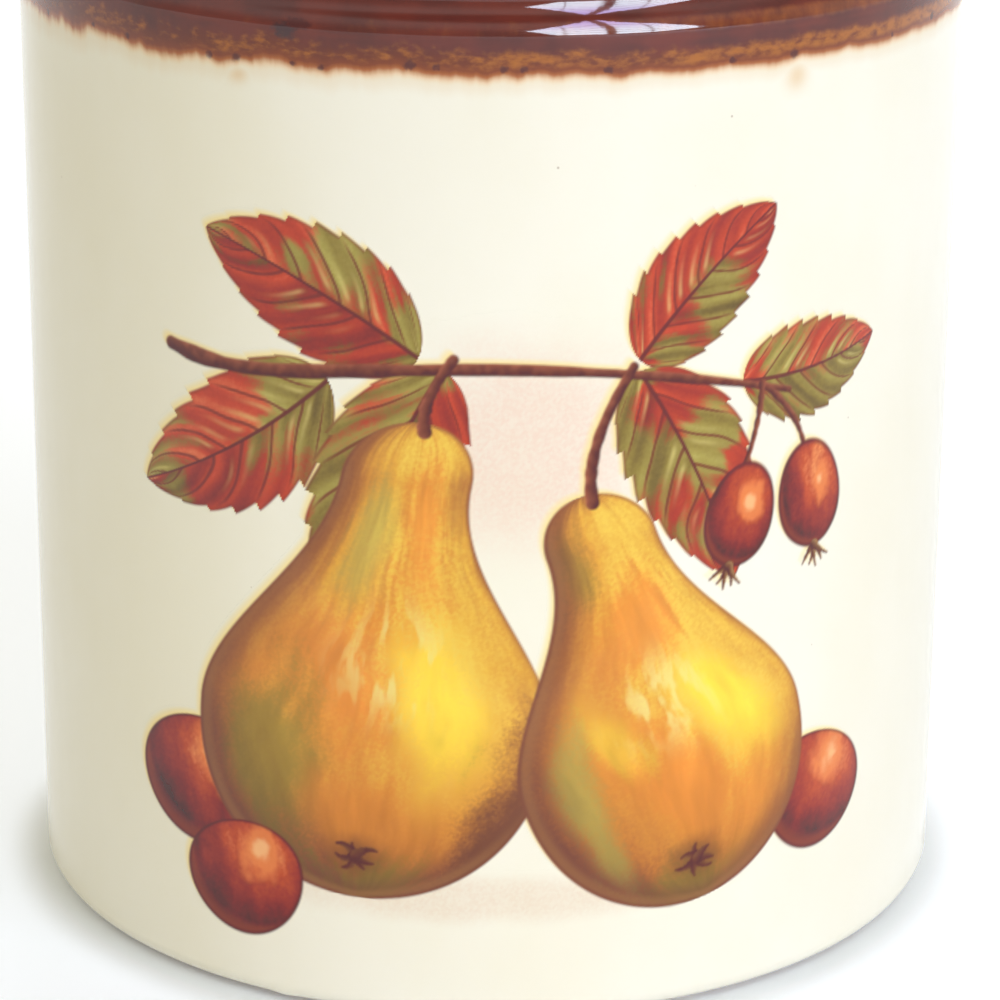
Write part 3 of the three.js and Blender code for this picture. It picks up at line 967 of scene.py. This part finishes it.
def make_dip(cream, brown):
    """Closed coat over the shoulder and rim. Its attributes say how far each point lies above the edge."""
    way = dip_profile()
    travel = travelled(way)
    ends = np.minimum(travel, travel[-1] - travel)
    lift = DIP_EDGE_LIFT + DIP_THICKNESS * smooth(DIP_MARGIN - 1.5, DIP_MARGIN + 4.0, ends)
    normal = outward(way)
    shell = np.vstack([way + normal * lift[:, None], (way - normal * DIP_SINK)[::-1]])
    piece = turned("shoulder_glaze", shell, DIP_COLUMNS, strips=4, closed=True, bulge=swell)
    angle = 2 * np.pi * np.arange(DIP_COLUMNS) / DIP_COLUMNS
    arc_u = wrapped(angle)
    outer = travel[:, None] - DIP_MARGIN - edge_wave(angle, 5)[None]
    inner = (travel[-1] - travel)[:, None] - DIP_MARGIN - edge_wave(angle, 8)[None]
    above = np.minimum(outer, inner)
    bead, bead_grey = bead_fields(arc_u, outer)
    stain = np.zeros(above.shape)
    for u, level, wide, tall in FRONT_STAINS:
        du = arc_u[None] * BODY_R - u
        stain = np.maximum(stain, 0.7 * np.exp(-(du / wide) ** 2 - ((outer - level) / tall) ** 2))
    honey = (HONEY_MEAN + HONEY_SWING * np.sin(arc_u + HONEY_TURN))[None] + 0 * above
    thin = np.clip(bend_along(way) / 0.2, 0, 1)[:, None] * (0.15 + 0.45 * smooth(0.55, 0.95, honey))
    fields = {"above_edge": (above, 9), "thin": (thin, 0), "stain": (stain, 0), "honey": (honey, 0),
              "bead_grey": (bead_grey, 0), "bead": (bead, BEAD_FAR)}
    for name, (values, hidden) in fields.items():
        kind = "FLOAT_VECTOR" if values.ndim == 3 else "FLOAT"
        attribute(piece, name, kind, np.concatenate([values, np.full(values.shape, hidden)]))
    piece.data.materials.append(dip_material(cream, brown))
    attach(piece, "canister")


PRINT_STEP = 0.25
PRINT_SCALE = 0.94
# Taken off the ink, because the gloss over it lightens it
INK_VEIL = 0.024
PRINT_LIFT = 0.03
PRINT_SINK = 0.10
PRINT_ACROSS, PRINT_UP = (-74.0, 80.0), (4.0, 146.0)
# The map's strips for the front of the film, and for its back and edges: size and corner
FRONT_MAP = np.array([(0.98, 0.94), (0.01, 0.05)])
BACK_MAP = np.array([(0.98, 0.03), (0.01, 0.005)])


def on_wall(u, z, lift):
    angle = u / BODY_R
    radius = BODY_R + lift + swell(angle, z)
    return np.stack([radius * np.sin(angle), -radius * np.cos(angle), z], -1)


def inked_cells(cover):
    """Grid cells that the print covers, with no two cells that touch at a corner only."""
    inked = cover > 0.01
    cells = inked[:-1, :-1] | inked[1:, :-1] | inked[:-1, 1:] | inked[1:, 1:]
    while True:
        a, b, c, d = cells[:-1, :-1], cells[:-1, 1:], cells[1:, :-1], cells[1:, 1:]
        rising, falling = a & d & ~b & ~c, b & c & ~a & ~d
        if not (rising | falling).any():
            return cells
        cells[:-1, 1:] |= rising
        cells[:-1, :-1] |= falling


def scaled(values, ends):
    middle = sum(ends) / 2
    return (values - middle) / PRINT_SCALE + middle


def make_print(cream):
    """Thin closed film with the outline of the print, that follows the wall."""
    u, v = np.meshgrid(*(np.arange(*ends, PRINT_STEP) for ends in (PRINT_ACROSS, PRINT_UP)))
    rgb, cover = paint_print(scaled(u, PRINT_ACROSS), scaled(v, PRINT_UP))
    cells = inked_cells(cover)
    i, j = np.nonzero(cells)
    wide = u.shape[1]
    corner = i * wide + j
    front = np.stack([corner, corner + 1, corner + wide + 1, corner + wide], -1)
    places, front, used = only_used(np.stack([u.ravel(), v.ravel()], -1), front)
    rgb, cover = rgb.reshape(-1, 3)[used], cover.ravel()[used]
    u, v = places.T
    count = len(places)
    padded = np.pad(cells, 1)
    walls = []
    for (di, dj), (start, end) in (((-1, 0), (0, 1)), ((0, 1), (1, 2)), ((1, 0), (2, 3)), ((0, -1), (3, 0))):
        open_side = ~padded[i + 1 + di, j + 1 + dj]
        a, b = front[open_side, start], front[open_side, end]
        walls.append(np.stack([b, a, a + count, b + count], -1))
    walls = np.concatenate(walls)
    faces = np.concatenate([front, front[:, ::-1] + count, walls])
    points = np.concatenate([on_wall(u, v, PRINT_LIFT), on_wall(u, v, -PRINT_SINK)])
    flat = np.stack([np.interp(u, PRINT_ACROSS, (0, 1)), np.interp(v, PRINT_UP, (0, 1))], -1)
    sheet = np.concatenate([flat * size + place for size, place in (FRONT_MAP, BACK_MAP)])
    uv = sheet[faces]
    uv[-len(walls):] = sheet[walls % count + count]
    piece = make_mesh("transfer_print", points, faces, uv)
    ink = np.concatenate([np.clip(linear(rgb) - INK_VEIL, 0, 1), np.ones((count, 1))], 1)
    attribute(piece, "ink", "FLOAT_COLOR", np.concatenate([ink, ink]))
    attribute(piece, "cover", "FLOAT", np.concatenate([cover, 0 * cover]))
    piece.data.materials.append(print_material(cream))
    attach(piece, "canister")


def groove():
    """Seal groove with eased corners, from below to above."""
    e = GROOVE_EASE
    return chain(
        ease(SKIRT_R, GROOVE_BOTTOM, (0, -e), (-e, 0)),
        ease(GROOVE_R, GROOVE_BOTTOM, (e, 0), (0, e)),
        line((GROOVE_R, GROOVE_BOTTOM + e), (GROOVE_R, GROOVE_TOP - e), 1.5),
        ease(GROOVE_R, GROOVE_TOP, (0, -e), (e, 0)),
        ease(SKIRT_R, GROOVE_TOP, (-e, 0), (0, e)),
    )


def lid_profile():
    core_top = KNOB_TOP - KNOB_CROWN - LID_THICKNESS
    hollow_top = DOME_TOP - LID_THICKNESS
    hollow_edge = (SKIRT_INNER - UNDERSIDE_FILLET, SEAT + UNDERSIDE_RISE)
    core_mouth = (CORE_R + CORE_ROUNDING, hollow_top)
    foot = SKIRT_FOOT + SKIRT_ROUNDING
    bead = arc(BEAD_CENTRE, SEAT + BEAD_R, BEAD_R, -90, BEAD_WRAP, 32)
    neck_foot, neck_start = (NECK_R + NECK_FILLET, DOME_TOP), (NECK_R, DOME_TOP + NECK_FILLET)
    edge_r, edge_z = KNOB_R - KNOB_EDGE_R, KNOB_TOP - KNOB_CROWN - KNOB_EDGE_R
    return chain(
        line((0, core_top), (CORE_R - CORE_ROUNDING, core_top), 1),
        arc(CORE_R - CORE_ROUNDING, core_top - CORE_ROUNDING, CORE_ROUNDING, 90, 0),
        arc(core_mouth[0], hollow_top + CORE_ROUNDING, CORE_ROUNDING, 180, 270),
        bezier([core_mouth, (DOME_SHOULDER, hollow_top), hollow_edge], 24),
        arc(hollow_edge[0], hollow_edge[1] - UNDERSIDE_FILLET, UNDERSIDE_FILLET, 90, 0),
        arc(SKIRT_INNER + SKIRT_ROUNDING, foot, SKIRT_ROUNDING, 180, 270),
        arc(SKIRT_R - SKIRT_ROUNDING, foot, SKIRT_ROUNDING, -90, 0),
        line((SKIRT_R, foot), (SKIRT_R, GROOVE_BOTTOM - GROOVE_EASE), 1),
        groove(),
        line((SKIRT_R, GROOVE_TOP + GROOVE_EASE), (SKIRT_R, SEAT - SEAT_EASE), 1),
        ease(SKIRT_R, SEAT, (0, -SEAT_EASE), (SEAT_EASE, 0), 5),
        line((SKIRT_R + SEAT_EASE, SEAT), (BEAD_CENTRE, SEAT), 1),
        bead,
        bezier([bead[-1], (DOME_SHOULDER, DOME_TOP), neck_foot], 40),
        arc(neck_foot[0], neck_start[1], NECK_FILLET, 270, 180),
        bezier([neck_start, (NECK_R, edge_z - KNOB_EDGE_R), (edge_r, edge_z - KNOB_EDGE_R)], 16),
        arc(edge_r, edge_z, KNOB_EDGE_R, -90, 90, 18),
        bezier([(edge_r, edge_z + KNOB_EDGE_R), (edge_r / 2, KNOB_TOP), (0, KNOB_TOP)], 16),
    )


# The glaze thins over crests: how far that reaches, how strong it is and where it stops
CREST_REACH, CREST_GAIN, CREST_MOST = 1.6, 2.6, 0.75


def make_lid(brown):
    profile = lid_profile()
    piece = turned("lid_stoneware", profile, LID_COLUMNS)
    travel = travelled(profile)
    weights = np.exp(-((travel[:, None] - travel[None]) / CREST_REACH) ** 2) * np.gradient(travel)[None]
    crest = (weights @ np.clip(bend_along(profile), 0, 0.5)) / weights.sum(1)
    last = len(profile) - 1
    ring = np.concatenate([[0], np.repeat(np.arange(1, last), LID_COLUMNS), [last]])
    x, y, z = points_of(piece).T
    radius = np.hypot(x, y)
    on_seat = smooth(SKIRT_R + 0.4, SKIRT_R + 1.2, radius) * smooth(BEAD_CENTRE + 1.2, BEAD_CENTRE, radius)
    on_seat = on_seat * (np.abs(z - SEAT) < 0.4)
    on_foot = smooth(SKIRT_FOOT + 1.0, SKIRT_FOOT + 0.3, z)
    attribute(piece, "bare", "FLOAT", np.maximum(on_seat, on_foot))
    attribute(piece, "thin", "FLOAT", np.clip(crest[ring] * CREST_GAIN, 0, CREST_MOST))
    piece.data.materials.append(stoneware_material("brown_stoneware", brown, 0.0))
    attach(piece, "lid")
    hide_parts("lid")


def seal_profile():
    inner, band_low, band_high, lip_r = GROOVE_R + FIT_GAP, SEAL_LOW[2], SEAL_HIGH[2], SEAL_HIGH[0]
    pitch = (band_high - band_low) / LIP_COUNT
    corners = [(inner, band_low), (SKIRT_R, band_low)]
    for k in range(LIP_COUNT):
        root = band_low + pitch * (k + 0.5) - LIP_LIFT / 2
        tip = root + LIP_LIFT
        corners += [(SKIRT_R, root - LIP_ROOT / 2), (lip_r, tip - LIP_TIP / 2)]
        corners += [(lip_r, tip + LIP_TIP / 2), (SKIRT_R, root + LIP_ROOT / 2)]
    corners += [(SKIRT_R, band_high), (inner, band_high)]
    return rounded(corners, SEAL_ROUNDING)


def make_seal():
    piece = turned("seal_ring", seal_profile(), SEAL_COLUMNS, strips=6, closed=True)
    piece.data.materials.append(seal_material())
    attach(piece, "seal")
    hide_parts("lid_seal")


# Stage, in metres: pale floor, soft lamps, and a window and a dim room for the gloss to reflect

FLOOR_REACH = 6.0
FLOOR_COLOUR = (0.88, 0.925, 0.99, 1)
FLOOR_GLOW = (0.91, 0.98, 1.15, 1)
# Glow of the floor at the jar's foot, kept low there as painted shade round the foot, and then how far out it
# reaches each next level: from, to, level
FOOT_GLOW_PAINTED_SHADE = 0.09
FLOOR_GLOWS = [(BODY_R * MM, (BODY_R + 9) * MM, 0.35), (0.12, 0.6, 0.46), (1.0, 1.9, 0.62)]
# Lamps: turn to the right of the front, distance, height, size, power, colour
LAMPS = {
    "key": (37.0, 2.0, 0.60, (1.5, 1.3), 21.4, (0.92, 1.005, 1.28)),
    "fill": (165.0, 2.0, 0.9, (1.8, 1.6), 15.0, (1.0, 1.0, 1.06)),
    "bounce": (0.0, 0.25, 0.03, (0.5, 0.04), 0.085, (1.0, 0.98, 0.86)),
}
LAMP_TARGET = Vector((0, 0, 0.1))
# Window that only the gloss sees: turns of its corners and mullion, rises of its outline, rows of panes
WINDOW_DISTANCE = 1.5
WINDOW_TURNS = (8.0, 15.0, 26.0, 28.6, 38.0, 48.5)
WINDOW_LOW = (12.0, -1.0, -2.0, -2.0, -2.0, 1.0)
WINDOW_HIGH = (14.0, 27.0, 44.0, 44.0, 27.0, 5.0)
WINDOW_COLUMNS = ((8.0, 16.6), (17.1, 25.8), (28.6, 36.4), (36.9, 48.5))
WINDOW_ROWS = ((0.0, 0.13), (0.15, 0.28), (0.30, 0.46), (0.48, 0.70), (0.72, 1.0))
WINDOW_STEPS = 6
WINDOW_GLOW = 20.0
WINDOW_COLOURS = ((0.74, 0.86, 1.0), (0.42, 0.38, 0.72))
ROOM_TURNS = (-110.0, 90.0)
ROOM_FADE = 35.0
ROOM_DISTANCE = 2.6
ROOM_HEIGHT = 3.0
ROOM_GRID = (41, 25)
ROOM_GLOW = (0.55, 1.05)
ROOM_TOP_GLOW = 0.40
ROOM_COLOUR = (1.0, 0.97, 0.95, 1)
WORLD_DIFFUSE = 0.58
WORLD_TINT = (1.0, 0.905, 0.65)
# What the gloss sees of the surroundings, by how far up it looks
WHITE, SKY_GREY = (255, 255, 255), (150, 150, 156)
SKY = [(-1.0, WHITE), (0.20, WHITE), (0.75, SKY_GREY)]


def stage_mesh(name, points, faces, material):
    mesh = bpy.data.meshes.new(name)
    mesh.from_pydata(points, [], faces)
    made = add_object(name, mesh)
    mesh.materials.append(material)
    return made


def gloss_only(piece):
    piece.visible_camera = piece.visible_diffuse = piece.visible_shadow = False


def emit_only(nodes, shader, strength, colour):
    nodes.feed(shader, {"Base Color": (0, 0, 0, 1), "Specular IOR Level": 0.0,
                        "Emission Strength": strength, "Emission Color": colour})


def make_floor():
    """Pale floor that keeps the shadow. It glows a little for camera and gloss, more so further out, and
    least at the jar's foot, where the low glow is painted shade.
    """
    material, nodes, shader = new_material("pale_floor")
    away = nodes.length(nodes.place())
    # The glow starts low at the jar's foot, which paints a darker band of shade round it
    glow = FOOT_GLOW_PAINTED_SHADE
    for start, end, level in FLOOR_GLOWS:
        glow = nodes.blend(nodes.step(away, start, end), glow, level)
    nodes.feed(shader, {"Base Color": FLOOR_COLOUR, "Roughness": 0.9, "Specular IOR Level": 0.0,
                        "Emission Strength": nodes.times(nodes.seen(), glow), "Emission Color": FLOOR_GLOW})
    r = FLOOR_REACH
    stage_mesh("floor", [(-r, -r, 0), (r, -r, 0), (r, r, 0), (-r, r, 0)], [(0, 1, 2, 3)], material)


def make_room():
    """Dim wall round the front, which only the gloss sees. It fades out at its ends and top."""
    material, nodes, shader = new_material("dim_room")
    emit_only(nodes, shader, nodes.read("glow"), ROOM_COLOUR)
    left, right = ROOM_TURNS
    columns, rows = ROOM_GRID
    turns, heights = np.meshgrid(np.linspace(left, right, columns), np.linspace(0.02, ROOM_HEIGHT, rows))
    glow = ROOM_GLOW[0] + (ROOM_GLOW[1] - ROOM_GLOW[0]) * smooth(0.3, 1.8, heights)
    outside = 1 - (1 - ROOM_TOP_GLOW) * smooth(0.8, 2.4, heights)
    inner = smooth(left, left + ROOM_FADE, turns) * smooth(right, right - ROOM_FADE, turns)
    inner *= smooth(ROOM_HEIGHT, 2.2, heights)
    x, y = ROOM_DISTANCE * np.sin(np.radians(turns)), -ROOM_DISTANCE * np.cos(np.radians(turns))
    points = np.stack([x, y, heights], -1).reshape(-1, 3).tolist()
    starts = [row * columns + k for row in range(rows - 1) for k in range(columns - 1)]
    faces = [(k, k + 1, columns + k + 1, columns + k) for k in starts]
    room = stage_mesh("dim_room", points, faces, material)
    attribute(room, "glow", "FLOAT", outside + (glow - outside) * inner)
    gloss_only(room)


def make_window():
    """Panes of a window in front of the jar, which only the gloss sees."""
    material, nodes, shader = new_material("window_glow")
    emit_only(nodes, shader, WINDOW_GLOW, nodes.read("glow", "Color"))
    centre = Vector((0, 0, SHOULDER_TOP * MM))
    points, faces, colours = [], [], []
    for left, right in WINDOW_COLUMNS:
        for low, high in WINDOW_ROWS:
            first = len(points)
            for turn in np.linspace(left, right, WINDOW_STEPS + 1):
                bottom, top = (np.interp(turn, WINDOW_TURNS, rises) for rises in (WINDOW_LOW, WINDOW_HIGH))
                for share in (low, high):
                    rise = bottom + share * (top - bottom)
                    points.append(towards(turn, rise, WINDOW_DISTANCE, centre))
                    tint = smooth(5, 40, rise)
                    colours.append([a + (b - a) * tint for a, b in zip(*WINDOW_COLOURS)] + [1.0])
            faces += [(k, k + 2, k + 3, k + 1) for k in range(first, first + 2 * WINDOW_STEPS, 2)]
    window = stage_mesh("window", points, faces, material)
    attribute(window, "glow", "FLOAT_COLOR", colours)
    gloss_only(window)


def towards(turn, rise, distance, centre):
    """Point at a turn to the right of the front and a rise above the horizon, in degrees."""
    a, e = math.radians(turn), math.radians(rise)
    return centre + distance * Vector((math.sin(a) * math.cos(e), -math.cos(a) * math.cos(e), math.sin(e)))


def make_lights():
    """Soft key from the front right, a fill behind, and a low reflector in front of the foot."""
    for name, (turn, distance, height, size, power, colour) in LAMPS.items():
        lamp = bpy.data.lights.new(name, "AREA")
        lamp.shape = "RECTANGLE"
        lamp.size, lamp.size_y = size
        lamp.energy = power
        lamp.color = colour
        place = towards(turn, 0, distance, Vector((0, 0, height)))
        made = add_object(name, lamp)
        made.location = place
        made.rotation_euler = (LAMP_TARGET - place).to_track_quat("-Z", "Y").to_euler()
        made.visible_camera = made.visible_glossy = False


def make_world():
    world = bpy.data.worlds.new("surroundings")
    world.use_nodes = True
    bpy.context.scene.world = world
    nodes = Nodes(world.node_tree)
    up = nodes.add("SeparateXYZ", {0: nodes.add("TexCoord", {}).outputs["Generated"]}).outputs["Z"]
    ambient = (*(WORLD_DIFFUSE * channel for channel in WORLD_TINT), 1)
    colour = nodes.mix(nodes.seen(), ambient, nodes.ramp(up, -1.0, 1.0, SKY))
    nodes.feed(world.node_tree.nodes["Background"], {"Color": colour, "Strength": 1.0})


# Camera, fitted to the jar's edges and the dip line, in metres and radians
CAMERA_PLACE = Vector((0.00205, -0.66145, 0.28976))
CAMERA_PITCH = 0.3263
CAMERA_ROLL = 0.007
CAMERA_LENS = 136.68
CAMERA_SENSOR = 36.0
CAMERA_NEAR = 0.02


def make_camera():
    data = bpy.data.cameras.new("camera")
    data.sensor_width = CAMERA_SENSOR
    data.lens = CAMERA_LENS
    data.clip_start = CAMERA_NEAR
    camera = add_object("camera", data)
    ahead = Vector((0, math.cos(CAMERA_PITCH), -math.sin(CAMERA_PITCH)))
    level = Vector((1, 0, 0))
    upright = level.cross(ahead)
    right = level * math.cos(CAMERA_ROLL) + upright * math.sin(CAMERA_ROLL)
    up = upright * math.cos(CAMERA_ROLL) - level * math.sin(CAMERA_ROLL)
    pose = Matrix((right, up, -ahead)).transposed().to_4x4()
    pose.translation = CAMERA_PLACE
    camera.matrix_world = pose
    bpy.context.scene.camera = camera


make_camera()
make_floor()
make_room()
make_window()
make_lights()
make_world()
CREAM_GLAZE = cream_group()
BROWN_GLAZE = brown_group()
make_jar(CREAM_GLAZE)
make_dip(CREAM_GLAZE, BROWN_GLAZE)
make_print(CREAM_GLAZE)
make_lid(BROWN_GLAZE)
make_seal()
bpy.context.scene.view_settings.view_transform = "Standard"
